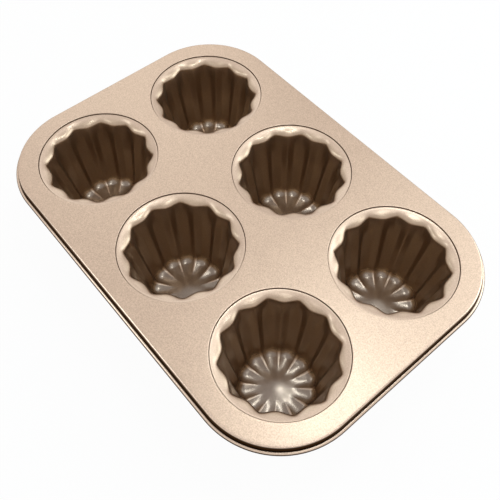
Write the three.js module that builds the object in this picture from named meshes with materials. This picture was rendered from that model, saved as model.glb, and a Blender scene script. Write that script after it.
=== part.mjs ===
// Canele pan: a flat pressed deck with a skirt and a rolled edge, and fluted cups seamed into its holes.
// Millimetres, +Z up, long side along X, standing on the cups' bottoms at z = 0.

import * as THREE from 'three';
import { mergeGeometries, mergeVertices } from 'three/addons/utils/BufferGeometryUtils.js';

// Layout of the cups
const CUP_COLUMNS = ['left', 'middle', 'right'];
const CUP_ROWS = ['front', 'rear'];
const CUP_PITCH = 84.0;
const PAN_HEIGHT = 53.2;

// How far each cup's flutes are turned about its axis, in degrees: the cups were seamed in as they came
const CUP_TURNS = {
  front: { left: -6, middle: -8, right: -2 },
  rear: { left: -5, middle: 4, right: 4 },
};

// Deck sheet, its skirt and its rolled edge
const DECK_SHEET = 0.7;
const END_MARGIN = 11.0;
const SIDE_MARGIN = 12.1;
const DECK_CORNER_RADIUS = 46.2;
const DECK_BEND_RADIUS = 1.2;
const SKIRT_DEPTH = 6.3;
const SKIRT_DRAFT = 0.5;
const ROLL_RADIUS = 1.2;
const ROLL_SWEEP = 1.75 * Math.PI;

// Collar turned down round each hole of the deck, narrower at its foot
const SEAM_RADIUS = 36.5;
const COLLAR_BEND_RADIUS = 1.0;
const COLLAR_DEPTH = 5.0;
const COLLAR_DRAFT = 0.5;

// Cup, measured along a groove: its sheet, domed bottom, ring that it stands on, foot, mouth and lip
const CUP_WALL = 0.7;
const DOME_RISE = 1.0;
const REST_RING_INNER = 8.0;
const REST_RING_OUTER = 11.0;
const FOOT_RADIUS = 24.1;
const FOOT_RISE = 5.0;
const FOOT_ROUND_WIDTH = 2.7;
const FOOT_ROUND_DROP = 4.0;
const MOUTH_RADIUS = 31.6;
const LIP_DEPTH = 5.2;
const LIP_DROP = 0.9;

// Seam that holds the cup: its edge turns down inside the collar and out under the collar's end
const SEAM_CLEARANCE = 0.3;
const CLINCH_REACH = 0.9;

// Flutes: how many, and how high and how sharp the ridges between them are on the bottom and at the mouth
const FLUTE_COUNT = 12;
const RIDGE_HEIGHT_BOTTOM = 1.9;
const RIDGE_HEIGHT_MOUTH = 2.3;
const RIDGE_SHARPNESS_BOTTOM = 1.9;
const RIDGE_SHARPNESS_MOUTH = 1.3;

// Steps of the facets, and how near two vertices lie that are one
const STEPS_PER_FLUTE = 4;
const LIP_STEPS = 3;
const CORNER_STEPS = 7;
const ROLL_STEPS = 7;
const WELD_DISTANCE = 1e-4;

const RING_STEPS = FLUTE_COUNT * STEPS_PER_FLUTE;
const DECK_HALF_X = ((CUP_COLUMNS.length - 1) / 2) * CUP_PITCH + SEAM_RADIUS + END_MARGIN;
const DECK_HALF_Y = ((CUP_ROWS.length - 1) / 2) * CUP_PITCH + SEAM_RADIUS + SIDE_MARGIN;

const champagneCoat = new THREE.MeshStandardMaterial({ color: 0xd0b59c, roughness: 0.38, metalness: 0.75 });
const champagneCup = new THREE.MeshStandardMaterial({ color: 0xc4a88e, roughness: 0.34, metalness: 0.75 });

/** Plain closed mesh: shared vertices are merged and triangles that have shrunk to a line are dropped. */
function welded(geometry) {
  const bare = geometry.clone();
  bare.deleteAttribute('normal');
  bare.deleteAttribute('uv');
  const merged = mergeVertices(bare, WELD_DISTANCE);
  const kept = [];
  const index = merged.getIndex().array;
  for (let t = 0; t < index.length; t += 3) {
    const [a, b, c] = index.slice(t, t + 3);
    if (a !== b && b !== c && c !== a) kept.push(a, b, c);
  }
  merged.setIndex(kept);
  return merged;
}

/** The other face of a sheet: the path moved to its right by the thickness, with mitred corners. */
function otherFace(path, thickness) {
  const side = path.slice(1).map((p, i) => {
    const along = p.clone().sub(path[i]).normalize();
    return new THREE.Vector2(along.y, -along.x);
  });
  return path.map((p, i) => {
    const before = side[Math.max(i - 1, 0)];
    const after = side[Math.min(i, side.length - 1)];
    const mitre = before.clone().add(after);
    return p.clone().addScaledVector(mitre, (2 * thickness) / mitre.lengthSq());
  });
}

/** A closed profile turned through a full ring, each vertex then set where place(step, j) says. */
function turned(profile, steps, place) {
  const ring = new THREE.LatheGeometry(profile, steps);
  const position = ring.getAttribute('position');
  for (let k = 0; k < position.count; k++) {
    const spot = place(Math.floor(k / profile.length) % steps, k % profile.length);
    position.setXYZ(k, spot.x, spot.y, spot.z);
  }
  return ring;
}

/** The point of a ring at the given radius and step, the ring being turned by an angle. */
function onCircle(radius, step, turn) {
  const angle = (2 * Math.PI * step) / RING_STEPS + turn;
  return new THREE.Vector2(radius * Math.cos(angle), radius * Math.sin(angle));
}

/** Outline of the deck at an offset outside the skirt's outer face: four arcs and four straights. */
function deckOutline(offset) {
  const points = [];
  [[1, 1], [-1, 1], [-1, -1], [1, -1]].forEach(([signX, signY], quarter) => {
    const centre = new THREE.Vector2(
      signX * (DECK_HALF_X - DECK_CORNER_RADIUS),
      signY * (DECK_HALF_Y - DECK_CORNER_RADIUS),
    );
    for (let step = 0; step <= CORNER_STEPS; step++) {
      const angle = (quarter + step / CORNER_STEPS) * (Math.PI / 2);
      const radius = DECK_CORNER_RADIUS + offset;
      points.push(new THREE.Vector2(radius * Math.cos(angle), radius * Math.sin(angle)).add(centre));
    }
  });
  return points;
}

/** Section of the deck's edge: from under the flat sheet down the skirt, round the roll and back up. */
function rimSection() {
  const bend = DECK_BEND_RADIUS;
  const skirtFoot = PAN_HEIGHT - SKIRT_DEPTH + ROLL_RADIUS;
  const outerFace = [
    new THREE.Vector2(-bend, PAN_HEIGHT),
    new THREE.Vector2(bend * (Math.SQRT1_2 - 1), PAN_HEIGHT - bend * (1 - Math.SQRT1_2)),
    new THREE.Vector2(0, PAN_HEIGHT - bend),
  ];
  const innerFace = [
    new THREE.Vector2(-bend, PAN_HEIGHT - DECK_SHEET),
    new THREE.Vector2(-DECK_SHEET, PAN_HEIGHT - bend),
  ];
  const rollCentre = new THREE.Vector2(SKIRT_DRAFT - DECK_SHEET + ROLL_RADIUS, skirtFoot);
  const roll = [];
  for (let step = 0; step <= ROLL_STEPS; step++) {
    const angle = (ROLL_SWEEP * step) / ROLL_STEPS - Math.PI;
    const spoke = new THREE.Vector2(Math.cos(angle), Math.sin(angle));
    roll.push(spoke.multiplyScalar(ROLL_RADIUS).add(rollCentre));
  }
  return [...innerFace, ...roll, ...outerFace.reverse()];
}

/** Section of a hole's collar, from the flat sheet down the face that the cup sits against and back up. */
function collarSection() {
  const foot = PAN_HEIGHT - COLLAR_DEPTH;
  return [
    new THREE.Vector2(SEAM_RADIUS + COLLAR_BEND_RADIUS, PAN_HEIGHT),
    new THREE.Vector2(SEAM_RADIUS, PAN_HEIGHT - COLLAR_BEND_RADIUS),
    new THREE.Vector2(SEAM_RADIUS - COLLAR_DRAFT, foot),
    new THREE.Vector2(SEAM_RADIUS - COLLAR_DRAFT + DECK_SHEET, foot),
    new THREE.Vector2(SEAM_RADIUS + DECK_SHEET, PAN_HEIGHT - DECK_SHEET),
  ];
}

/** A point of the cup's section: its radius and height, and the height and sharpness of the ridges there. */
function sectionPoint(radius, height, ridge = 0, sharpness = 1, faceOnly = false) {
  return { spot: new THREE.Vector2(radius, height), ridge, sharpness, faceOnly };
}

/** Face of the cup that touches the dough, from the axis up to the lip, with the seam beyond it. */
function cupFace() {
  const floor = CUP_WALL;
  const mouth = PAN_HEIGHT - LIP_DEPTH;
  const legTop = SEAM_RADIUS - SEAM_CLEARANCE;
  const legFoot = legTop - COLLAR_DRAFT;
  const seamFoot = PAN_HEIGHT - COLLAR_DEPTH - SEAM_CLEARANCE;
  const footStart = new THREE.Vector2(FOOT_RADIUS - FOOT_ROUND_WIDTH, floor + FOOT_RISE - FOOT_ROUND_DROP);
  const bottom = [
    sectionPoint(0, floor + DOME_RISE),
    sectionPoint(REST_RING_INNER, floor),
    sectionPoint(REST_RING_OUTER, floor),
    sectionPoint(footStart.x, footStart.y, RIDGE_HEIGHT_BOTTOM, RIDGE_SHARPNESS_BOTTOM),
    sectionPoint(FOOT_RADIUS, floor + FOOT_RISE, RIDGE_HEIGHT_BOTTOM, RIDGE_SHARPNESS_BOTTOM),
  ];
  // The lip is a quarter of an ellipse, over which the ridges fade out
  const lip = [];
  for (let step = 0; step <= LIP_STEPS; step++) {
    const angle = ((Math.PI / 2) * step) / LIP_STEPS;
    const radius = MOUTH_RADIUS + (legTop - MOUTH_RADIUS) * (1 - Math.cos(angle));
    const height = mouth + (LIP_DEPTH - LIP_DROP) * Math.sin(angle);
    const ridge = RIDGE_HEIGHT_MOUTH * Math.cos(angle) ** 2;
    lip.push(sectionPoint(radius, height, ridge, RIDGE_SHARPNESS_MOUTH, step === LIP_STEPS - 1));
  }
  const seam = [
    sectionPoint(legFoot, seamFoot),
    sectionPoint(legFoot + DECK_SHEET + CLINCH_REACH, seamFoot),
  ];
  return [...bottom, ...lip, ...seam];
}

/** A cup about the Z axis, its flutes turned by the given angle: ridges rise inwards from the section. */
function cup(turn) {
  const path = cupFace();
  const across = otherFace(path.map((p) => p.spot), 1);
  const face = path.map((p, i) => ({ ...p, outwards: across[i].clone().sub(p.spot).normalize() }));
  const backed = face.filter((p) => !p.faceOnly);
  const backSpots = otherFace(backed.map((p) => p.spot), CUP_WALL);
  backSpots[0].x = 0;
  const back = backed.map((p, i) => ({ ...p, spot: backSpots[i] }));
  const section = [...back, ...face.reverse()];
  return turned(section.map((p) => p.spot), RING_STEPS, (step, j) => {
    const { spot, outwards, ridge, sharpness } = section[j];
    const halfPhase = (Math.PI * step) / STEPS_PER_FLUTE;
    const rise = ridge * (Math.sin(halfPhase) ** 2) ** sharpness;
    const place = onCircle(spot.x - rise * outwards.x, step, turn);
    return new THREE.Vector3(place.x, place.y, spot.y - rise * outwards.y);
  });
}

/** Every cup's name, place and turn. */
function cupPlaces() {
  return CUP_ROWS.flatMap((row, j) => CUP_COLUMNS.map((column, i) => ({
    name: `cup_${row}_${column}`,
    x: (i - (CUP_COLUMNS.length - 1) / 2) * CUP_PITCH,
    y: (j - (CUP_ROWS.length - 1) / 2) * CUP_PITCH,
    turn: THREE.MathUtils.degToRad(CUP_TURNS[row][column]),
  })));
}

/** A flat face of the deck's sheet: its outline at the given offset, with a round hole for each cup. */
function sheetFace(offset, holeRadius, height) {
  const outline = new THREE.Shape(deckOutline(offset));
  for (const { x, y, turn } of cupPlaces()) {
    const hole = [];
    for (let step = 0; step < RING_STEPS; step++) {
      hole.push(onCircle(holeRadius, step, turn).add(new THREE.Vector2(x, y)));
    }
    outline.holes.push(new THREE.Path(hole));
  }
  return new THREE.ShapeGeometry(outline).translate(0, 0, height);
}

/** The deck in one sheet: two flat faces, the edge round the outside and a collar round each hole. */
function deck() {
  const rim = rimSection();
  const collar = collarSection();
  const edge = turned(
    rim.map((p) => new THREE.Vector2(DECK_CORNER_RADIUS + p.x, p.y)),
    4 * (CORNER_STEPS + 1),
    (step, j) => {
      const spot = deckOutline(rim[j].x)[step];
      return new THREE.Vector3(spot.x, spot.y, rim[j].y);
    },
  );
  const collars = cupPlaces().map(({ x, y, turn }) => turned(collar, RING_STEPS, (step, j) => {
    const spot = onCircle(collar[j].x, step, turn);
    return new THREE.Vector3(spot.x + x, spot.y + y, collar[j].y);
  }));
  const top = sheetFace(rim.at(-1).x, collar[0].x, PAN_HEIGHT);
  const underside = sheetFace(rim[0].x, collar.at(-1).x, PAN_HEIGHT - DECK_SHEET);
  underside.setIndex([...underside.getIndex().array].reverse());
  return welded(mergeGeometries([top, underside, edge, ...collars]));
}

const pan = new THREE.Group();
const deckMesh = new THREE.Mesh(deck(), champagneCoat);
deckMesh.name = 'deck';
pan.add(deckMesh);
for (const { name, x, y, turn } of cupPlaces()) {
  const mesh = new THREE.Mesh(welded(cup(turn)), champagneCup);
  mesh.name = name;
  mesh.position.set(x, y, 0);
  pan.add(mesh);
}

export default pan;
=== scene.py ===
"""Canele pan: a champagne-coated steel deck with fluted cups seamed into its holes.

Lengths are in metres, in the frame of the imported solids: +Z is up, the long side lies along X, and
the pan stands on its cups' bottoms at z = 0.
"""

import logging
import math
from dataclasses import dataclass
from enum import Enum

import bmesh
import bpy
from mathutils import Matrix, Vector


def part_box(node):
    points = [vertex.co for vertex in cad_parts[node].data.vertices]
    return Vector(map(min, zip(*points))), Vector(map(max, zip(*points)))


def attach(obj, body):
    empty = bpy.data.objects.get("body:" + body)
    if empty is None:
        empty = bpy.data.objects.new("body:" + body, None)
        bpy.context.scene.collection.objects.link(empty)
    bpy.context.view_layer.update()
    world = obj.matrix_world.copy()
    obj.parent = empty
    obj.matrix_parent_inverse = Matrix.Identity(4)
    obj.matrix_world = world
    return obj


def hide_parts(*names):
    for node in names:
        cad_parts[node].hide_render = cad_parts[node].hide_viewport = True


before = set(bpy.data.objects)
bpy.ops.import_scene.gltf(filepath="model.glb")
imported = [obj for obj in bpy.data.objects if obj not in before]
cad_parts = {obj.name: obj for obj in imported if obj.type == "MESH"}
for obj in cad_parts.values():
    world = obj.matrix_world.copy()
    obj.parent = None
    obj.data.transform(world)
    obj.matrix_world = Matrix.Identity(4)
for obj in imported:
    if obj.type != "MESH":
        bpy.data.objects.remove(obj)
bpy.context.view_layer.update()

MM = 0.001
ORIGIN = (0.0, 0.0, 0.0)
UP = (0.0, 0.0, 1.0)
# Tightest radius that the inner face of a bent sheet may have
TIGHTEST_BEND = 0.05 * MM
# Vertices nearer to each other than this are merged
WELD_DISTANCE = 2e-6
# Vertices this near to a height lie on it
LEVEL_TOLERANCE = 1e-6
# Points of a section nearer to each other than this are one
SAME_POINT = 1e-9
# Corners that turn by less than this angle, in radians, stay as they are
STRAIGHT = 1e-3
BODY = "root"
LOG = logging.getLogger("canele_pan")

Triple = tuple[float, float, float]
Geometry = list[bmesh.types.BMVert | bmesh.types.BMEdge]


class Slot(Enum):
    """Material slots, one for the deck and one for the cups."""

    DECK = "deck_coat"
    CUP = "cup_coat"


class Layer(Enum):
    """Vertex attributes that the meshes carry.

    Attributes:
        RIDGE_IN: How far a full ridge moves the sheet towards the cup's axis.
        RIDGE_UP: How far a full ridge lifts the sheet.
        CRISPNESS: 1 where the flutes are crisp, 0 where they are an even wave.
        FACET: 1 where crisp flutes have straight flanks, 0 where they are hollow scallops.
        LIT_SHARE: 1 where the coat has its full, lit tone, 0 where it has its painted shade.
        DEPTH: 1 where the full coat has its deep tone, 0 where it has none of it: painted
            shade on the cups, a painted highlight on the deck's bends.
    """

    RIDGE_IN = "ridge_in"
    RIDGE_UP = "ridge_up"
    CRISPNESS = "ridge_crispness"
    FACET = "ridge_facet"
    LIT_SHARE = "coat_cover"
    DEPTH = "coat_depth"


class Port(Enum):
    """Sides of a node group that its sockets stand on."""

    IN = "INPUT"
    OUT = "OUTPUT"


class Blend(Enum):
    """What a mix of two sockets blends."""

    COLOUR = "RGBA"
    VALUE = "FLOAT"


class Operation(Enum):
    """Ways to work out a value from others."""

    LESS = "SUBTRACT"
    TIMES = "MULTIPLY"
    TIMES_PLUS = "MULTIPLY_ADD"


@dataclass(frozen=True)
class Corner:
    """A corner of a sheet's section.

    Attributes:
        r: Distance from the axis or from the skirt's outer face.
        z: Height.
        round: Radius of the arc that rounds the corner.
    """

    r: float
    z: float
    round: float = 0.0


def smoothstep(low: float, high: float, value: float) -> float:
    """Smooth rise from 0 at low to 1 at high."""
    t = min(max((value - low) / (high - low), 0.0), 1.0)
    return t * t * (3.0 - 2.0 * t)


def blend(a: float, b: float, t: float) -> float:
    """Value that share t of the way from a to b."""
    return a + (b - a) * t


def rounded_path(corners: list[Corner], arc_step: float, longest: float) -> list[Vector]:
    """Walks through the corners, rounding each one with its arc.

    Args:
        corners: The section's corners, in order.
        arc_step: Largest angle between two points of an arc.
        longest: Largest distance between two points of a straight.

    Returns:
        The points (r, z) of the path.
    """
    spots = [Vector((c.r, c.z)) for c in corners]
    bends = [spots[0]]
    for before, here, after, corner in zip(spots, spots[1:], spots[2:], corners[1:]):
        to_before = (before - here).normalized()
        to_after = (after - here).normalized()
        opening = to_before.angle(to_after)
        if corner.round <= 0.0 or math.pi - opening < STRAIGHT:
            bends.append(here)
            continue
        reach = corner.round / math.tan(opening / 2.0)
        middle = (to_before + to_after).normalized()
        centre = here + middle * (corner.round / math.sin(opening / 2.0))
        spoke = here + to_before * reach - centre
        turn = spoke.angle_signed(here + to_after * reach - centre)
        steps = max(2, math.ceil(abs(turn) / arc_step))
        for step in range(steps + 1):
            angle = -turn * step / steps
            bends.append(centre + Matrix.Rotation(angle, 2) @ spoke)
    bends.append(spots[-1])
    path = [bends[0]]
    for start, end in zip(bends, bends[1:]):
        pieces = max(1, math.ceil((end - start).length / longest))
        path.extend(start.lerp(end, step / pieces) for step in range(1, pieces + 1))
    return [p for i, p in enumerate(path) if i == 0 or (p - path[i - 1]).length > SAME_POINT]


def path_sides(path: list[Vector]) -> list[Vector]:
    """Finds the side of a path, square to it, at each of its points.

    Args:
        path: The points (r, z) of the path.

    Returns:
        The unit vectors to the right of the path.
    """
    sides = []
    for i in range(len(path)):
        along = path[min(i + 1, len(path) - 1)] - path[max(i - 1, 0)]
        along.normalize()
        sides.append(Vector((along.y, -along.x)))
    return sides


def other_face(corners: list[Corner], thickness: float) -> list[Corner]:
    """Corners of the sheet's other face.

    Args:
        corners: Corners of the first face.
        thickness: How far to the right of the first face the other one lies, negative for the left.

    Returns:
        The mitred corners, each with the rounding that keeps the sheet's thickness in the bend.
    """
    spots = [Vector((c.r, c.z)) for c in corners]
    ways = [(b - a).normalized() for a, b in zip(spots, spots[1:])]
    sides = [Vector((way.y, -way.x)) for way in ways]
    moved = []
    for i, corner in enumerate(corners):
        before = sides[max(i - 1, 0)]
        after = sides[min(i, len(sides) - 1)]
        mitre = (before + after) / (1.0 + before.dot(after))
        spot = spots[i] + mitre * thickness
        turn = ways[max(i - 1, 0)].cross(ways[min(i, len(ways) - 1)])
        grown = corner.round + math.copysign(thickness, turn * thickness)
        moved.append(Corner(spot.x, spot.y, max(grown, TIGHTEST_BEND)))
    return moved


def float_layer(mesh: bmesh.types.BMesh, layer: Layer) -> bmesh.types.BMLayerItem:
    """The mesh's vertex layer of that name, made if it isn't there."""
    found = mesh.verts.layers.float.get(layer.value)
    return found or mesh.verts.layers.float.new(layer.value)


def only(items: Geometry, kind: type) -> Geometry:
    """Those of the items that are of one kind, in their order."""
    return [item for item in items if isinstance(item, kind)]


def wire(mesh: bmesh.types.BMesh, section: list[Vector]) -> Geometry:
    """Draws a section in the XZ plane, open at its ends.

    Args:
        mesh: The mesh to draw in.
        section: Points (r, z).

    Returns:
        The new vertices, in the section's order, and then the edges.
    """
    verts = [mesh.verts.new((p.x, 0.0, p.y)) for p in section]
    return verts + [mesh.edges.new(pair) for pair in zip(verts, verts[1:])]


def spin_round(mesh: bmesh.types.BMesh, section: Geometry, steps: int) -> None:
    """Spins a section of the mesh a full turn about the Z axis, in that many steps."""
    bmesh.ops.spin(
        mesh,
        geom=section,
        cent=ORIGIN,
        axis=UP,
        angle=math.tau,
        steps=steps,
        use_merge=True,
    )


def merge_doubles(mesh: bmesh.types.BMesh) -> None:
    """Merges vertices that lie in one place."""
    bmesh.ops.remove_doubles(mesh, verts=mesh.verts[:], dist=WELD_DISTANCE)


def weld(mesh: bmesh.types.BMesh) -> None:
    """Merges doubled vertices and points every face outwards."""
    merge_doubles(mesh)
    bmesh.ops.recalc_face_normals(mesh, faces=mesh.faces[:])


def finish_object(mesh: bmesh.types.BMesh, name: str, crease: float) -> bpy.types.Object:
    """Turns a bmesh into a smooth-shaded object at the origin.

    Args:
        mesh: The finished bmesh, which is freed.
        name: The object's name.
        crease: Edges that bend by more than this angle stay sharp.

    Returns:
        The new object, linked to the scene.
    """
    data = bpy.data.meshes.new(name)
    mesh.to_mesh(data)
    mesh.free()
    data.shade_smooth()
    data.set_sharp_from_angle(angle=crease)
    piece = bpy.data.objects.new(name, data)
    bpy.context.scene.collection.objects.link(piece)
    return piece


def set_inputs(node: bpy.types.ShaderNode, values: dict[str, float | tuple[float, ...]]) -> None:
    """Sets a node's inputs to plain values, each named by its socket."""
    for name, value in values.items():
        node.inputs[name].default_value = value


@dataclass(frozen=True)
class FlakeCoat:
    """Champagne non-stick coat: metallic flakes in a brown binder, painted shade on steep faces.

    Attributes:
        name: Name of the material.
        full: Colour of the coat in its lit tone, on faces that look up.
        deep: Deep tone of the full coat: painted shade in a cup's bottom and on its lip's steep side,
            and a painted highlight, lighter than the full coat, on the deck's bends.
        shaded_tone: Painted shade of the coat on steep faces, such as the cups' walls and the
            deck's skirt.
        roughness: Roughness of the full coat.
        deep_roughness: Roughness of the full coat in its deep tone.
        shaded_roughness: Roughness of the coat where it has its painted shade.
        flake: Share by which single flakes are lighter or darker.
        flake_size: Size of a flake cluster.
        mottle: Share by which the coat varies over some millimetres.
        peel: Height of the coat's fine unevenness.
        gloss: Share of the surface that the clear binder covers.
        gloss_roughness: Roughness of the clear binder.
        edge_tint: Tint of what the coat reflects at a grazing angle.
    """

    name: str
    full: Triple
    deep: Triple
    shaded_tone: Triple
    roughness: float
    deep_roughness: float
    shaded_roughness: float
    flake: float
    flake_size: float
    mottle: float
    peel: float
    gloss: float
    gloss_roughness: float
    edge_tint: Triple

    def material(self, group: bpy.types.ShaderNodeTree) -> bpy.types.Material:
        """Builds the material.

        Args:
            group: The shared node group of the coat.

        Returns:
            The new material.
        """
        material = bpy.data.materials.new(self.name)
        material.use_nodes = True
        nodes, links = material.node_tree.nodes, material.node_tree.links
        shader = nodes["Principled BSDF"]
        uniform = {
            "Metallic": 1.0,
            "Specular Tint": (*self.edge_tint, 1.0),
            "Coat Weight": self.gloss,
            "Coat Roughness": self.gloss_roughness,
        }
        set_inputs(shader, uniform)
        coat = nodes.new("ShaderNodeGroup")
        coat.node_tree = group
        own = {
            "Full Coat": (*self.full, 1.0),
            "Deep Coat": (*self.deep, 1.0),
            "Thin Coat": (*self.shaded_tone, 1.0),
            "Full Roughness": self.roughness,
            "Deep Roughness": self.deep_roughness,
            "Thin Roughness": self.shaded_roughness,
            "Flake Share": self.flake,
            "Flake Scale": 1.0 / self.flake_size,
            "Mottle Share": self.mottle,
        }
        set_inputs(coat, own)
        # Each vertex's share of painted shade, and of the deep tone: painted shade, or on the deck's
        # bends a painted highlight.
        for layer, socket in ((Layer.LIT_SHARE, "Lit Share"), (Layer.DEPTH, "Depth")):
            mark = nodes.new("ShaderNodeAttribute")
            mark.attribute_name = layer.value
            links.new(mark.outputs["Fac"], coat.inputs[socket])
        bump = nodes.new("ShaderNodeBump")
        set_inputs(bump, {"Distance": self.peel})
        links.new(coat.outputs["Colour"], shader.inputs["Base Color"])
        links.new(coat.outputs["Roughness"], shader.inputs["Roughness"])
        links.new(coat.outputs["Height"], bump.inputs["Height"])
        links.new(bump.outputs["Normal"], shader.inputs["Normal"])
        return material


class FlakeCoatGroup:
    """Shared shader group of the coat: colour, roughness and height that vary over the surface.

    The colour carries painted shade on steep faces and in the cups, and a painted highlight on the
    deck's bends.

    Attributes:
        FLAKE_DETAIL: Detail of the noise that makes the flakes.
        MOTTLE_SCALE: Scale of the noise that makes the coat's slow variation.
        MOTTLE_DETAIL: Detail of that noise.
        PEEL_SCALE: Scale of the noise that makes the coat's fine unevenness.
        PEEL_DETAIL: Detail of that noise.
        NOISE_MEAN: Value that a noise varies about.
        ROUGHNESS_SPREAD: How much rougher the slow variation makes the coat.
    """

    FLAKE_DETAIL = 1.0
    MOTTLE_SCALE = 55.0
    MOTTLE_DETAIL = 3.0
    PEEL_SCALE = 1400.0
    PEEL_DETAIL = 2.0
    NOISE_MEAN = 0.5
    ROUGHNESS_SPREAD = 0.08

    def __init__(self) -> None:
        """Starts a group that has its sockets and no nodes between them."""
        self.tree = bpy.data.node_groups.new("flake_coat", "ShaderNodeTree")
        # The third colour is painted shade; the second is painted shade in the cups and a painted
        # highlight on the deck's bends.
        colours = ("Full Coat", "Deep Coat", "Thin Coat")
        roughness = ("Full Roughness", "Deep Roughness", "Thin Roughness")
        pattern = ("Flake Share", "Flake Scale", "Mottle Share")
        self.add_sockets(Port.IN, colours, ("Lit Share", "Depth", *roughness, *pattern))
        self.add_sockets(Port.OUT, ("Colour",), ("Roughness", "Height"))
        self.inputs = self.tree.nodes.new("NodeGroupInput")
        self.outputs = self.tree.nodes.new("NodeGroupOutput")
        self.place = self.tree.nodes.new("ShaderNodeTexCoord")

    def add_sockets(self, port: Port, colours: tuple[str, ...], values: tuple[str, ...]) -> None:
        """Gives the group its sockets on one side, colours first.

        Args:
            port: Which side.
            colours: Names of the sockets for colours.
            values: Names of the sockets for values.
        """
        for names, kind in ((colours, "NodeSocketColor"), (values, "NodeSocketFloat")):
            for name in names:
                self.tree.interface.new_socket(name, in_out=port.value, socket_type=kind)

    def given(self, name: str) -> bpy.types.NodeSocket:
        """The group's own input of that name."""
        return self.inputs.outputs[name]

    def link(self, source: bpy.types.NodeSocket, target: bpy.types.NodeSocket) -> None:
        """Joins two sockets."""
        self.tree.links.new(source, target)

    def noise(self, detail: float, scale: float = 1.0) -> bpy.types.ShaderNode:
        """Makes a noise texture on object coordinates.

        Args:
            detail: How much finer detail the noise has.
            scale: Scale of the noise, where nothing is linked to it.

        Returns:
            The texture's node.
        """
        noise = self.tree.nodes.new("ShaderNodeTexNoise")
        set_inputs(noise, {"Scale": scale, "Detail": detail})
        self.link(self.place.outputs["Object"], noise.inputs["Vector"])
        return noise

    def calculated(
        self,
        operation: Operation,
        *terms: bpy.types.NodeSocket | float,
    ) -> bpy.types.NodeSocket:
        """Works out a value.

        Args:
            operation: The way to work it out.
            *terms: Sockets and plain numbers, in the operation's order.

        Returns:
            The value's socket.
        """
        node = self.tree.nodes.new("ShaderNodeMath")
        node.operation = operation.value
        for socket, term in zip(node.inputs, terms):
            if isinstance(term, float):
                socket.default_value = term
            else:
                self.link(term, socket)
        return node.outputs["Value"]

    def varied(self, noise: bpy.types.ShaderNode, share: str) -> bpy.types.NodeSocket:
        """1 plus the noise about its mean, times the input named share."""
        shifted = self.calculated(Operation.LESS, noise.outputs["Fac"], self.NOISE_MEAN)
        return self.calculated(Operation.TIMES_PLUS, shifted, self.given(share), 1.0)

    def mixed(
        self,
        kind: Blend,
        share: str,
        low: bpy.types.NodeSocket,
        high: bpy.types.NodeSocket,
    ) -> bpy.types.NodeSocket:
        """Blends two sockets.

        Args:
            kind: What is blended.
            share: Name of the group's input that gives the share of high.
            low: What shows where that input is 0.
            high: What shows where it is 1.

        Returns:
            The blended socket.
        """
        node = self.tree.nodes.new("ShaderNodeMix")
        node.data_type = kind.value
        self.link(self.given(share), node.inputs["Factor"])
        self.link(low, node.inputs["A"])
        self.link(high, node.inputs["B"])
        return node.outputs["Result"]

    def coat_mix(self, kind: Blend, what: str) -> bpy.types.NodeSocket:
        """Blends the coat's painted shade, its full tone and the full tone's deep tone.

        Args:
            kind: What is blended.
            what: Last word of the inputs, whose first words are Full, Deep and Shaded.

        Returns:
            The blended socket.
        """
        full = self.mixed(kind, "Depth", self.given(f"Full {what}"), self.given(f"Deep {what}"))
        return self.mixed(kind, "Lit Share", self.given(f"Thin {what}"), full)

    def build(self) -> bpy.types.ShaderNodeTree:
        """Wires the group.

        Returns:
            The group's tree.
        """
        flakes = self.noise(self.FLAKE_DETAIL)
        self.link(self.given("Flake Scale"), flakes.inputs["Scale"])
        mottle = self.noise(self.MOTTLE_DETAIL, self.MOTTLE_SCALE)
        peel = self.noise(self.PEEL_DETAIL, self.PEEL_SCALE)
        spots = (self.varied(flakes, "Flake Share"), self.varied(mottle, "Mottle Share"))
        colour = self.tree.nodes.new("ShaderNodeVectorMath")
        colour.operation = "SCALE"
        self.link(self.coat_mix(Blend.COLOUR, "Coat"), colour.inputs["Vector"])
        self.link(self.calculated(Operation.TIMES, *spots), colour.inputs["Scale"])
        satin = self.coat_mix(Blend.VALUE, "Roughness")
        uneven = (mottle.outputs["Fac"], self.ROUGHNESS_SPREAD, satin)
        rough = self.calculated(Operation.TIMES_PLUS, *uneven)
        self.link(colour.outputs["Vector"], self.outputs.inputs["Colour"])
        self.link(rough, self.outputs.inputs["Roughness"])
        self.link(peel.outputs["Fac"], self.outputs.inputs["Height"])
        return self.tree


# Deck: the deep tone is a painted highlight on the bends; the near-black third tone is painted shade
# on steep faces.
DECK_COAT = FlakeCoat(
    name="champagne_deck_coat",
    full=(0.530, 0.393, 0.299),
    deep=(0.66, 0.51, 0.40),
    shaded_tone=(0.027, 0.0145, 0.0075),
    roughness=0.34,
    deep_roughness=0.16,
    shaded_roughness=0.35,
    flake=0.7,
    flake_size=0.6 * MM,
    mottle=0.06,
    peel=0.012 * MM,
    gloss=0.0,
    gloss_roughness=0.30,
    edge_tint=(0.65, 0.55, 0.48),
)
# Cups: the deep tone is painted shade in the bottom and on the lip's steep side; the third tone is
# painted shade on the walls.
CUP_COAT = FlakeCoat(
    name="champagne_cup_coat",
    full=(0.545, 0.405, 0.308),
    deep=(0.20, 0.152, 0.12),
    shaded_tone=(0.43, 0.315, 0.210),
    roughness=0.34,
    deep_roughness=0.21,
    shaded_roughness=0.27,
    flake=0.4,
    flake_size=0.6 * MM,
    mottle=0.06,
    peel=0.010 * MM,
    gloss=0.4,
    gloss_roughness=0.27,
    edge_tint=(0.90, 0.85, 0.80),
)


@dataclass(frozen=True)
class Seam:
    """Sizes of the seam between a cup and the deck.

    Attributes:
        radius: Inside of the collar at its top.
        bend: Rounding of the deck's edge over the collar.
        depth: How far the collar reaches below the deck's top.
        draft: How much narrower the collar is at its foot.
        clearance: Gap between the collar and the cup.
    """

    radius: float = 36.5 * MM
    bend: float = 0.4 * MM
    depth: float = 5.0 * MM
    draft: float = 0.5 * MM
    clearance: float = 0.1 * MM


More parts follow.
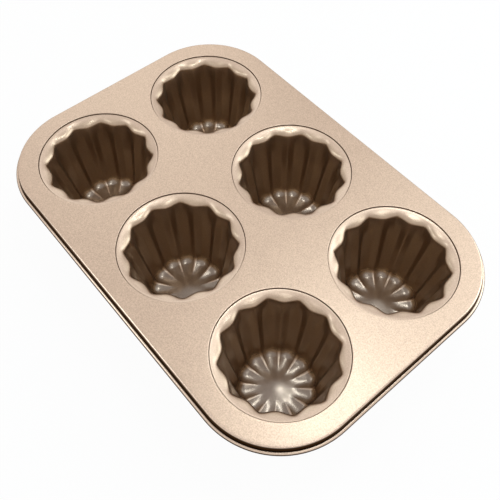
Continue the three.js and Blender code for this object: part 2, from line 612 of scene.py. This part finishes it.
@dataclass
class FlutedCup:
    """A pressed cup: rosette bottom, fluted wall, rolled-over lip and the seam's folded edge.

    Slopes are angles between the sheet and the horizontal.

    Attributes:
        top: Height of the deck's top face.
        seam: Sizes of the seam.
        sheet: Thickness of the sheet.
        dome_crown: Radius at which the bottom's dome starts to fall.
        dome_rise: Height of the dome over the cup's floor.
        dome_round: Rounding of the dome.
        valley_radius: Radius of the valley round the dome.
        valley_dip: How far the valley lies below the cup's floor, before it is rounded.
        valley_round: Rounding of the valley.
        foot_radius: Radius of the corner between the bottom and the wall.
        foot_rise: Height of that corner over the cup's floor.
        foot_round: Rounding of that corner.
        mouth_radius: Radius of the corner between the wall and the lip.
        lip_drop: How far the lip's outer edge lies below the deck's top.
        lip_fall: How far the lip falls from there to the mouth.
        lip_round: Rounding between the wall and the lip.
        edge_round: Rounding of the lip's outer edge.
        clinch_round: Rounding of the seam's fold.
        clinch_reach: How far the fold reaches out under the collar.
        flutes: Number of flutes.
        petal_start: Radius at which the ridges between the bottom's petals start.
        petal_slope: How much those ridges rise per length outwards.
        wall_start: Height at which the petals start to turn into the wall's flutes.
        wall_full: Height at which they have turned into them.
        foot_ridge: Height of the wall's ridges at the foot.
        mouth_ridge: Height of the wall's ridges at the mouth.
        lip_zone: Depth, below the deck's top, of the zone where the ridges follow the lip's slope.
        lip_calm: Slope at which the ridges have faded out on the lip.
        lip_full: Slope from which they are full.
        crest_round: How round the crests between the petals are, 0 for crisp ones.
        crest_highlight: Share of the deep tone taken off the petals' crests: a painted highlight
            along them.
        crest_edge: Share of a ridge's height at which its painted highlight starts.
        highlight_start: Lift of a ridge at which its crest starts to take the painted highlight.
        highlight_full: Lift from which that highlight is full.
        wave_sharpness: Power of the wave at the mouth, under 1 for pointed grooves.
        flank_crispness: How straight the flanks of the wall's flutes are, 1 for fully straight.
        groove_share: Share of a flute that lies flat in its groove.
        groove_round: How round the flat groove turns into the flank, 0 for crisp.
        crisp_end: Height up to which the flutes are crisp.
        wave_start: Height from which they are an even wave.
        back_lit_share: Share of the lit tone on the outside.
        steep: How far up a face looks where it has its full painted shade, 1 for straight up.
        level: How far up a face looks where it has its lit tone.
        haze: Share of the lit tone that reaches down the wall from the lip, as painted light.
        haze_end: Depth below the deck's top at which that has ended.
        deep_end: Height up to which the coat has its whole deep tone, painted shade in the bottom.
        deep_start: Height at which that has faded out.
        lip_shade: Share of the deep tone, as painted shade, on the steep side of the lip.
        shade_start: Slope at which that starts.
        shade_full: Slope from which it is full.
        steps_per_flute: Steps round each flute.
        arc_step: Largest angle between two points of the section's arcs.
        longest: Largest distance between two points of its straights.
        crease: Edges that bend by more than this angle stay sharp.
    """

    top: float
    seam: Seam
    sheet: float = 0.7 * MM
    dome_crown: float = 2.4 * MM
    dome_rise: float = 1.08 * MM
    dome_round: float = 34.0 * MM
    valley_radius: float = 12.0 * MM
    valley_dip: float = 0.06 * MM
    valley_round: float = 34.0 * MM
    foot_radius: float = 23.2 * MM
    foot_rise: float = 0.24 * MM
    foot_round: float = 6.5 * MM
    mouth_radius: float = 32.5 * MM
    lip_drop: float = 0.7 * MM
    lip_fall: float = 0.6 * MM
    lip_round: float = 4.8 * MM
    edge_round: float = 0.3 * MM
    clinch_round: float = 0.2 * MM
    clinch_reach: float = 1.4 * MM
    flutes: int = 12
    petal_start: float = 9.0 * MM
    petal_slope: float = 0.095
    wall_start: float = 2.0 * MM
    wall_full: float = 9.0 * MM
    foot_ridge: float = 1.8 * MM
    mouth_ridge: float = 2.3 * MM
    lip_zone: float = 6.5 * MM
    lip_calm: float = math.radians(25.0)
    lip_full: float = math.radians(80.0)
    crest_round: float = 0.10
    crest_highlight: float = 0.55
    crest_edge: float = 0.72
    highlight_start: float = 0.15 * MM
    highlight_full: float = 0.6 * MM
    wave_sharpness: float = 0.7
    flank_crispness: float = 0.985
    groove_share: float = 0.44
    groove_round: float = 0.07
    crisp_end: float = 34.0 * MM
    wave_start: float = 48.0 * MM
    back_lit_share: float = 0.8
    steep: float = 0.16
    level: float = 0.97
    haze: float = 0.5
    haze_end: float = 13.0 * MM
    deep_end: float = 5.0 * MM
    deep_start: float = 18.0 * MM
    lip_shade: float = 0.4
    shade_start: float = math.radians(38.0)
    shade_full: float = math.radians(62.0)
    steps_per_flute: int = 32
    arc_step: float = math.radians(8.0)
    longest: float = 2.0 * MM
    crease: float = math.radians(50.0)

    def corners(self) -> list[Corner]:
        """Sets out the face that touches the dough.

        Returns:
            The corners of its section, from the axis to the end of the seam's fold.
        """
        floor = self.sheet
        lip = self.top - self.lip_drop
        leg_top = self.seam.radius - self.seam.clearance
        leg_foot = leg_top - self.seam.draft
        seam_foot = self.top - self.seam.depth - self.seam.clearance
        return [
            Corner(0.0, floor + self.dome_rise),
            Corner(self.dome_crown, floor + self.dome_rise, self.dome_round),
            Corner(self.valley_radius, floor - self.valley_dip, self.valley_round),
            Corner(self.foot_radius, floor + self.foot_rise, self.foot_round),
            Corner(self.mouth_radius, lip - self.lip_fall, self.lip_round),
            Corner(leg_top, lip, self.edge_round),
            Corner(leg_foot, seam_foot, self.clinch_round),
            Corner(leg_foot + self.clinch_reach, seam_foot),
        ]

    def ridge_height(self, spot: Vector, slope: float) -> float:
        """Height of the ridges between the flutes at a point of the section.

        Args:
            spot: The point (r, z).
            slope: Slope of the sheet there.

        Returns:
            The height, which fades out over the lip and towards the dome.
        """
        wall_top = self.top - self.lip_zone
        if spot.y > wall_top:
            return self.mouth_ridge * smoothstep(self.lip_calm, self.lip_full, slope)
        wall = blend(self.foot_ridge, self.mouth_ridge, max(spot.y / wall_top, 0.0))
        petal = self.petal_slope * max(spot.x - self.petal_start, 0.0)
        return blend(petal, wall, smoothstep(self.wall_start, self.wall_full, spot.y))

    def ridge_share(self, phase: float, crispness: float, facet: float) -> float:
        """Share of the ridge's height at an angle of the flute.

        Args:
            phase: Angle within the flute, 0 in the groove and pi on the ridge.
            crispness: 1 for flutes that meet in a crisp crest, 0 for an even wave.
            facet: 1 for crisp flutes with straight flanks, 0 for hollow scallops.

        Returns:
            The share, from 0 in the groove to 1 on the ridge.
        """
        wave = math.sin(phase / 2.0) ** 2
        full = math.hypot(1.0, self.crest_round)
        hollow = math.hypot(math.cos(phase / 2.0), self.crest_round)
        scallop = (full - hollow) / (full - self.crest_round)
        swing = 2.0 * math.asin(self.flank_crispness)
        rise = 0.5 - math.asin(self.flank_crispness * math.cos(phase)) / swing
        climb = (rise - self.groove_share) / (1.0 - self.groove_share)
        crest = 1.0 + math.hypot(1.0, self.groove_round)
        flank = (climb + math.hypot(climb, self.groove_round)) / crest
        return blend(wave**self.wave_sharpness, blend(scallop, flank, facet), crispness)

    def coat_cover(self, spot: Vector, side: Vector) -> float:
        """Share of the lit tone at a point of the inside, the rest being painted shade.

        Args:
            spot: The point (r, z).
            side: Unit vector to the right of the section there.

        Returns:
            The share, which is high on level faces and runs out down the wall into painted shade.
        """
        # Painted light: the lit tone reaches some way down the wall below the lip.
        haze_foot = self.top - self.haze_end
        haze = self.haze * smoothstep(haze_foot, self.top - self.lip_drop, spot.y)
        return max(haze, smoothstep(self.steep, self.level, -side.y))

    def coat_depth(self, spot: Vector, slope: float) -> float:
        """Share of the deep tone, a painted shade, at a point of the section.

        Args:
            spot: The point (r, z).
            slope: Slope of the sheet there.

        Returns:
            The share: painted shade on the lip's steep side, and darker towards the bottom.
        """
        if spot.y > self.top - self.lip_zone:
            return self.lip_shade * smoothstep(self.shade_start, self.shade_full, slope)
        return 1.0 - smoothstep(self.deep_end, self.deep_start, spot.y)

    def mark(
        self,
        vert: bmesh.types.BMVert,
        side: Vector,
        layers: dict[Layer, bmesh.types.BMLayerItem],
        back: bool,
    ) -> None:
        """Writes the wave and the painted shade of one point of the section.

        Args:
            vert: The point.
            side: Unit vector to the right of the section there.
            layers: The mesh's vertex layers.
            back: Whether the point lies on the outside of the cup.
        """
        spot = Vector((vert.co.x, vert.co.z))
        slope = math.atan2(side.x, -side.y)
        height = self.ridge_height(spot, slope)
        vert[layers[Layer.RIDGE_IN]] = height * side.x
        vert[layers[Layer.RIDGE_UP]] = -height * side.y
        vert[layers[Layer.CRISPNESS]] = 1.0 - smoothstep(self.crisp_end, self.wave_start, spot.y)
        vert[layers[Layer.FACET]] = smoothstep(self.wall_start, self.wall_full, spot.y)
        # Painted shade: the lit share falls on steep faces; the deep tone darkens the bottom and the
        # lip.
        vert[layers[Layer.LIT_SHARE]] = self.back_lit_share if back else self.coat_cover(spot, side)
        vert[layers[Layer.DEPTH]] = self.coat_depth(spot, slope)

    def mesh(self) -> bmesh.types.BMesh:
        """Spins the cup's section about the Z axis and presses the flutes into it.

        Returns:
            The cup's mesh about the Z axis.
        """
        face = rounded_path(self.corners(), self.arc_step, self.longest)
        back = rounded_path(other_face(self.corners(), self.sheet), self.arc_step, self.longest)
        sides = path_sides(face) + path_sides(back)[::-1]
        mesh = bmesh.new()
        layers = {layer: float_layer(mesh, layer) for layer in Layer}
        outline = wire(mesh, face + back[::-1])
        for i, side in enumerate(sides):
            self.mark(outline[i], side, layers, i >= len(face))
        spin_round(mesh, outline, self.flutes * self.steps_per_flute)
        self.press_flutes(mesh, layers)
        weld(mesh)
        return mesh

    def press_flutes(
        self,
        mesh: bmesh.types.BMesh,
        layers: dict[Layer, bmesh.types.BMLayerItem],
    ) -> None:
        """Moves each vertex by its share of the nearest ridge and paints a highlight on the crests.

        Args:
            mesh: The cup as it was spun.
            layers: The mesh's vertex layers.
        """
        for vert in mesh.verts:
            angle = math.atan2(vert.co.y, vert.co.x)
            shape = (vert[layers[Layer.CRISPNESS]], vert[layers[Layer.FACET]])
            ridge = self.ridge_share(self.flutes * angle, *shape)
            inwards = ridge * vert[layers[Layer.RIDGE_IN]]
            vert.co.x -= inwards * math.cos(angle)
            vert.co.y -= inwards * math.sin(angle)
            vert.co.z += ridge * vert[layers[Layer.RIDGE_UP]]
            # Painted highlight: raised crests lose part of their deep tone.
            lifted = smoothstep(self.highlight_start, self.highlight_full, vert[layers[Layer.RIDGE_UP]])
            crest = smoothstep(self.crest_edge, 1.0, ridge)
            vert[layers[Layer.DEPTH]] *= 1.0 - self.crest_highlight * lifted * crest

    def build(
        self,
        name: str,
        axis: Vector,
        turn: float,
        pattern: bmesh.types.BMesh,
    ) -> bpy.types.Object:
        """Sets a copy of the cup in its place.

        Args:
            name: Name of the piece.
            axis: Where the cup's axis meets the floor.
            turn: Angle by which its flutes are turned.
            pattern: The cup's mesh about the Z axis.

        Returns:
            The finished object.
        """
        mesh = pattern.copy()
        bmesh.ops.transform(
            mesh,
            matrix=Matrix.Translation(axis) @ Matrix.Rotation(turn, 4, "Z"),
            verts=mesh.verts[:],
        )
        return finish_object(mesh, name, self.crease)


@dataclass
class Deck:
    """The pressed deck: a flat sheet with collared holes, a bend, a skirt and a rolled edge.

    Attributes:
        half_x: Half the length over the skirt's outer face.
        half_y: Half the width over the skirt's outer face.
        top: Height of its top face.
        seam: Sizes of the seams.
        centres: Axes of the cups.
        sheet: Thickness of the sheet.
        corner_radius: Radius of the deck's corners over the skirt's outer face.
        bend: Rounding between the flat top and the skirt.
        skirt_depth: How far the rolled edge reaches below the deck's top.
        skirt_draft: How far the skirt leans out at its foot.
        roll_radius: Outer radius of the rolled edge.
        roll_end: Angle, up from the horizontal on the outside, at which the roll ends.
        steep: How far up a face looks where it has its full painted shade, 1 for straight up.
        level: How far up a face looks where it has its lit tone.
        bent: How far up a face looks where a bend has its full painted highlight.
        flat: How far up a face looks where that highlight has ended.
        seam_lit_share: Least share of the lit tone beside the seams.
        seam_highlight: Share of the painted highlight that the bends over the seams have.
        support: Width of the flat strip beside each bend.
        corner_steps: Steps round each of the deck's corners.
        ring_steps: Steps round each hole.
        arc_step: Largest angle between two points of a section's arcs.
        longest: Largest distance between two points of its straights.
        crease: Edges that bend by more than this angle stay sharp.
    """

    half_x: float
    half_y: float
    top: float
    seam: Seam
    centres: list[Vector]
    sheet: float = 0.7 * MM
    corner_radius: float = 46.2 * MM
    bend: float = 1.2 * MM
    skirt_depth: float = 6.3 * MM
    skirt_draft: float = 0.5 * MM
    roll_radius: float = 1.2 * MM
    roll_end: float = math.radians(110.0)
    steep: float = 0.48
    level: float = 0.88
    bent: float = 0.96
    flat: float = 0.998
    seam_lit_share: float = 0.28
    seam_highlight: float = 0.35
    support: float = 1.5 * MM
    corner_steps: int = 40
    ring_steps: int = 192
    arc_step: float = math.radians(10.0)
    longest: float = 2.0 * MM
    crease: float = math.radians(50.0)

    def rim_section(self) -> list[Vector]:
        """Sets out the section of the edge, with r measured from the skirt's outer face.

        Returns:
            The points (r, z), from the flat top over the bend, round the roll and back underneath.
        """
        foot = self.top - self.skirt_depth + self.roll_radius
        corners = [
            Corner(-self.bend - self.support, self.top),
            Corner(0.0, self.top, self.bend),
            Corner(self.skirt_draft, foot),
        ]
        outer = rounded_path(corners, self.arc_step, self.longest)
        inner = rounded_path(other_face(corners, self.sheet), self.arc_step, self.longest)
        centre = Vector((self.skirt_draft - self.sheet + self.roll_radius, foot))
        sweep = math.pi + self.roll_end
        steps = math.ceil(sweep / self.arc_step)
        spokes = []
        for step in range(1, steps + 1):
            angle = -math.pi + sweep * step / steps
            spokes.append(Vector((math.cos(angle), math.sin(angle))))
        inside_roll = [centre + spoke * (self.roll_radius - self.sheet) for spoke in spokes]
        outside_roll = [centre + spoke * self.roll_radius for spoke in spokes]
        return outer + inside_roll + outside_roll[::-1] + inner[::-1]

    def collar_section(self) -> list[Vector]:
        """Sets out the section of a hole's collar.

        Returns:
            The points (r, z), from the flat top down to the collar's end and back up underneath.
        """
        seam = self.seam
        corners = [
            Corner(seam.radius + seam.bend + self.support, self.top),
            Corner(seam.radius, self.top, seam.bend),
            Corner(seam.radius - seam.draft, self.top - seam.depth),
        ]
        face = rounded_path(corners, self.arc_step, self.longest)
        back = rounded_path(other_face(corners, -self.sheet), self.arc_step, self.longest)
        return face + back[::-1]

    def sweep_rim(self, mesh: bmesh.types.BMesh) -> None:
        """Carries the rim's section round the deck: at each corner a quarter turn, then a straight.

        Args:
            mesh: The mesh to add the rim to.
        """
        section = [Vector((self.half_x + p.x, p.y)) for p in self.rim_section()]
        inset_x = self.half_x - self.corner_radius
        inset_y = self.half_y - self.corner_radius
        row = wire(mesh, section)
        bmesh.ops.translate(mesh, vec=(0.0, inset_y, 0.0), verts=only(row, bmesh.types.BMVert))
        for sign_x, sign_y, straight in (
            (1, 1, (-2.0 * inset_x, 0.0, 0.0)),
            (-1, 1, (0.0, -2.0 * inset_y, 0.0)),
            (-1, -1, (2.0 * inset_x, 0.0, 0.0)),
            (1, -1, (0.0, 2.0 * inset_y, 0.0)),
        ):
            turned = bmesh.ops.spin(
                mesh,
                geom=row,
                cent=(sign_x * inset_x, sign_y * inset_y, 0.0),
                axis=UP,
                angle=math.pi / 2.0,
                steps=self.corner_steps,
            )
            end = only(turned["geom_last"], bmesh.types.BMEdge)
            drawn = bmesh.ops.extrude_edge_only(mesh, edges=end)["geom"]
            verts = only(drawn, bmesh.types.BMVert)
            bmesh.ops.translate(mesh, vec=straight, verts=verts)
            edges = only(drawn, bmesh.types.BMEdge)
            row = verts + [edge for edge in edges if set(edge.verts) <= set(verts)]

    def add_collars(self, mesh: bmesh.types.BMesh) -> None:
        """Spins one collar and sets a copy of it round the axis of each cup.

        Args:
            mesh: The mesh to add the collars to.
        """
        ring = bmesh.new()
        spin_round(ring, wire(ring, self.collar_section()), self.ring_steps)
        pattern = bpy.data.meshes.new("collar")
        ring.to_mesh(pattern)
        ring.free()
        for centre in self.centres:
            known = len(mesh.verts)
            mesh.from_mesh(pattern)
            mesh.verts.ensure_lookup_table()
            bmesh.ops.translate(mesh, vec=centre, verts=mesh.verts[known:])
        bpy.data.meshes.remove(pattern)

    def fill_sheet(self, mesh: bmesh.types.BMesh) -> None:
        """Fills the flat top and the flat underside between the rim and the collars.

        Args:
            mesh: The mesh that has the rim and the collars.
        """
        for height, way in ((self.top, 1.0), (self.top - self.sheet, -1.0)):
            loop = [
                edge
                for edge in mesh.edges
                if edge.is_boundary and all(abs(v.co.z - height) < LEVEL_TOLERANCE for v in edge.verts)
            ]
            bmesh.ops.triangle_fill(mesh, use_beauty=True, edges=loop, normal=(0.0, 0.0, way))

    def mark_coat(self, mesh: bmesh.types.BMesh) -> None:
        """Paints shade on the skirt and a highlight on the bends into each vertex.

        Args:
            mesh: The deck's closed mesh.
        """
        # Layers of the painted shade and of the painted highlight.
        lit_layer = float_layer(mesh, Layer.LIT_SHARE)
        depth = float_layer(mesh, Layer.DEPTH)
        seam_edge = self.seam.radius + self.seam.bend + self.support
        mesh.normal_update()
        for vert in mesh.verts:
            flatness = abs(vert.normal.z)
            at_rim = all((vert.co.xy - centre.xy).length > seam_edge for centre in self.centres)
            least, share = (0.0, 1.0) if at_rim else (self.seam_lit_share, self.seam_highlight)
            # Painted shade on steep faces and a painted highlight on the bends, both weaker by the
            # seams.
            vert[lit_layer] = max(smoothstep(self.steep, self.level, flatness), least)
            vert[depth] = share * (1.0 - smoothstep(self.bent, self.flat, flatness))

    def build(self, name: str) -> bpy.types.Object:
        """Builds the deck.

        Args:
            name: Name of the piece.

        Returns:
            The finished object.
        """
        mesh = bmesh.new()
        self.sweep_rim(mesh)
        self.add_collars(mesh)
        merge_doubles(mesh)
        self.fill_sheet(mesh)
        weld(mesh)
        self.mark_coat(mesh)
        return finish_object(mesh, name, self.crease)


@dataclass
class CanelePan:
    """The whole pan: one deck and a cup at each of the frame's cup nodes.

    Attributes:
        roll_reach: How far the rolled edge reaches out past the skirt's top.
        turns_deg: Node of each cup and the degrees by which its flutes are turned.
    """

    roll_reach: float = 2.2 * MM
    turns_deg: tuple[tuple[str, float], ...] = (
        ("cup_front_left", -3.5),
        ("cup_front_middle", -5.5),
        ("cup_front_right", 0.0),
        ("cup_rear_left", -5.5),
        ("cup_rear_middle", 6.0),
        ("cup_rear_right", 7.5),
    )

    def build(self) -> list[bpy.types.Object]:
        """Builds every piece, sets it in the place of its node and dresses it.

        Returns:
            The pieces.
        """
        group = FlakeCoatGroup().build()
        deck_coat = DECK_COAT.material(group)
        cup_coat = CUP_COAT.material(group)
        seam = Seam()
        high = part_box("deck")[1]
        axes = {name: self.cup_axis(name) for name, _ in self.turns_deg}
        deck = Deck(
            half_x=high.x - self.roll_reach,
            half_y=high.y - self.roll_reach,
            top=high.z,
            seam=seam,
            centres=list(axes.values()),
        )
        pieces = [self.seat(deck.build("pressed_deck"), "deck", Slot.DECK, deck_coat)]
        cup = FlutedCup(top=high.z, seam=seam)
        pattern = cup.mesh()
        for node, turn in self.turns_deg:
            piece = cup.build(f"fluted_{node}", axes[node], math.radians(turn), pattern)
            pieces.append(self.seat(piece, node, Slot.CUP, cup_coat))
        pattern.free()
        return pieces

    @staticmethod
    def cup_axis(node: str) -> Vector:
        """Finds where the axis of a cup meets the floor, from the middle of its node's box.

        Args:
            node: Name of the cup's node.

        Returns:
            The point on the floor.
        """
        low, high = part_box(node)
        middle = (low + high) / 2.0
        return Vector((middle.x, middle.y, 0.0))

    @staticmethod
    def seat(
        piece: bpy.types.Object,
        node: str,
        slot: Slot,
        coat: bpy.types.Material,
    ) -> bpy.types.Object:
        """Gives a piece its coat and its body, and hides the part of the node that it stands for.

        Args:
            piece: The piece.
            node: Name of the node.
            slot: Material slot of the node; not used.
            coat: The piece's material.

        Returns:
            The same piece.
        """
        piece.data.materials.append(coat)
        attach(piece, BODY)
        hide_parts(node)
        LOG.info("%s: %d faces, stands for %s", piece.name, len(piece.data.polygons), node)
        return piece


@dataclass(frozen=True)
class Softbox:
    """A square lamp that looks at the pan.

    Attributes:
        name: Name of the lamp.
        place: Where it hangs.
        size: Length of its sides.
        power: Its power in watts.
    """

    name: str
    place: Triple
    size: float
    power: float


def seen_rays(nodes: bpy.types.Nodes, links: bpy.types.NodeLinks) -> bpy.types.NodeSocket:
    """Tells the rays that see the background from those that light the pan.

    Args:
        nodes: Nodes of a material or a world.
        links: Links of the same tree.

    Returns:
        A socket that is 1 for rays from the camera and in reflections and glass, 0 for the rest.
    """
    path = nodes.new("ShaderNodeLightPath")
    socket = path.outputs["Is Camera Ray"]
    for other in ("Is Glossy Ray", "Is Transmission Ray"):
        larger = nodes.new("ShaderNodeMath")
        larger.operation = "MAXIMUM"
        links.new(socket, larger.inputs[0])
        links.new(path.outputs[other], larger.inputs[1])
        socket = larger.outputs["Value"]
    return socket


@dataclass
class Studio:
    """Pale floor, soft light and the photograph's camera.

    Attributes:
        top: Height of the deck's top face, on which the camera's target lies.
        focal_px: The camera's focal length in pixels of the photograph.
        image_px: Width of the photograph in pixels.
        sensor: Width of the camera's sensor in millimetres.
        azimuth: How far round from the front to the right the camera stands.
        elevation: How steeply it looks down.
        distance: How far it stands from its target.
        target_x: Where its target lies along the pan.
        target_y: Where its target lies across the pan.
        near_clip: Nearest distance that the camera sees.
        floor_size: Length of the floor's sides.
        floor_tone: How light the floor is, of 1 for white.
        floor_roughness: Roughness of the floor.
        floor_glow: Share of plain white that covers the floor and the shadow on it.
        world_strength: Strength of the world's light on the pan.
        white_strength: Strength of the world where it is seen.
        white: Colour of the world.
        lamp_colour: Colour of the lamps.
        softboxes: The lamps.
    """

    top: float
    focal_px: float = 629.24
    image_px: float = 500.0
    sensor: float = 36.0
    azimuth: float = math.radians(49.72)
    elevation: float = math.radians(58.0)
    distance: float = 351.2 * MM
    target_x: float = 27.88 * MM
    target_y: float = -14.71 * MM
    near_clip: float = 0.01
    floor_size: float = 6.0
    floor_tone: float = 0.9
    floor_roughness: float = 0.9
    floor_glow: float = 0.95
    world_strength: float = 0.6
    white_strength: float = 1.0
    white: Triple = (1.0, 1.0, 1.0)
    lamp_colour: Triple = (0.82, 0.96, 1.0)
    softboxes: tuple[Softbox, ...] = (
        Softbox("key_softbox", place=(0.028, 0.134, 0.653), size=0.11, power=0.50),
        Softbox("far_softbox", place=(0.030, 0.499, 0.653), size=0.50, power=0.56),
        Softbox("near_softbox", place=(0.311, -0.028, 0.743), size=0.18, power=0.25),
        Softbox("side_softbox", place=(0.306, 0.593, 0.400), size=0.5, power=1.8),
        Softbox("fill_softbox", place=(-0.810, 0.359, 0.703), size=0.6, power=0.8),
        Softbox("edge_softbox", place=(-0.382, -0.528, 0.700), size=0.3, power=0.8),
    )

    def build(self) -> None:
        """Makes the camera, the floor, the world and the lamps."""
        bpy.context.scene.view_settings.view_transform = "Standard"
        self.camera()
        self.floor()
        self.world()
        for softbox in self.softboxes:
            self.hang(softbox)

    def camera(self) -> None:
        """Makes the camera at the photograph's viewing angle."""
        data = bpy.data.cameras.new("camera")
        data.sensor_width = self.sensor
        data.lens = self.focal_px / self.image_px * self.sensor
        data.clip_start = self.near_clip
        camera = bpy.data.objects.new("camera", data)
        bpy.context.scene.collection.objects.link(camera)
        back = Vector(
            (
                math.sin(self.azimuth) * math.cos(self.elevation),
                -math.cos(self.azimuth) * math.cos(self.elevation),
                math.sin(self.elevation),
            )
        )
        camera.location = Vector((self.target_x, self.target_y, self.top)) + back * self.distance
        camera.rotation_mode = "QUATERNION"
        camera.rotation_quaternion = (-back).to_track_quat("-Z", "Y")
        bpy.context.scene.camera = camera

    def floor(self) -> None:
        """Makes the floor, white to the eye and in reflections, with a soft share of its shadow."""
        mesh = bmesh.new()
        bmesh.ops.create_grid(mesh, x_segments=2, y_segments=2, size=self.floor_size / 2.0)
        piece = finish_object(mesh, "floor", math.pi)
        material = bpy.data.materials.new("pale_floor")
        material.use_nodes = True
        nodes, links = material.node_tree.nodes, material.node_tree.links
        matt = nodes["Principled BSDF"]
        tone = (self.floor_tone, self.floor_tone, self.floor_tone, 1.0)
        set_inputs(matt, {"Base Color": tone, "Roughness": self.floor_roughness})
        glow = nodes.new("ShaderNodeEmission")
        mix = nodes.new("ShaderNodeMixShader")
        share = nodes.new("ShaderNodeMath")
        share.operation = "MULTIPLY"
        share.inputs[1].default_value = self.floor_glow
        links.new(seen_rays(nodes, links), share.inputs[0])
        links.new(share.outputs["Value"], mix.inputs["Fac"])
        links.new(matt.outputs["BSDF"], mix.inputs[1])
        links.new(glow.outputs["Emission"], mix.inputs[2])
        links.new(mix.outputs["Shader"], nodes["Material Output"].inputs["Surface"])
        piece.data.materials.append(material)

    def world(self) -> None:
        """Makes a soft grey world that is white to the eye and in reflections."""
        world = bpy.data.worlds.new("studio")
        world.use_nodes = True
        bpy.context.scene.world = world
        nodes, links = world.node_tree.nodes, world.node_tree.links
        colour = (*self.white, 1.0)
        soft = nodes["Background"]
        set_inputs(soft, {"Color": colour, "Strength": self.world_strength})
        seen = nodes.new("ShaderNodeBackground")
        set_inputs(seen, {"Color": colour, "Strength": self.white_strength})
        mix = nodes.new("ShaderNodeMixShader")
        links.new(seen_rays(nodes, links), mix.inputs["Fac"])
        links.new(soft.outputs["Background"], mix.inputs[1])
        links.new(seen.outputs["Background"], mix.inputs[2])
        links.new(mix.outputs["Shader"], nodes["World Output"].inputs["Surface"])

    def hang(self, softbox: Softbox) -> None:
        """Hangs a softbox in its place, turned to the middle of the deck's top.

        Args:
            softbox: The lamp to hang.
        """
        data = bpy.data.lights.new(softbox.name, "AREA")
        data.shape = "SQUARE"
        data.size = softbox.size
        data.energy = softbox.power
        data.color = self.lamp_colour
        lamp = bpy.data.objects.new(softbox.name, data)
        bpy.context.scene.collection.objects.link(lamp)
        place = Vector(softbox.place)
        lamp.location = place
        lamp.rotation_mode = "QUATERNION"
        lamp.rotation_quaternion = (Vector((0.0, 0.0, self.top)) - place).to_track_quat("-Z", "Y")


def main() -> None:
    """Builds the pan and the studio."""
    logging.basicConfig(level=logging.INFO, format="%(relativeCreated)d %(name)s: %(message)s")
    pieces = CanelePan().build()
    Studio(top=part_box("deck")[1].z).build()
    LOG.info("%d pieces", len(pieces))


if __name__ == "__main__":
    main()
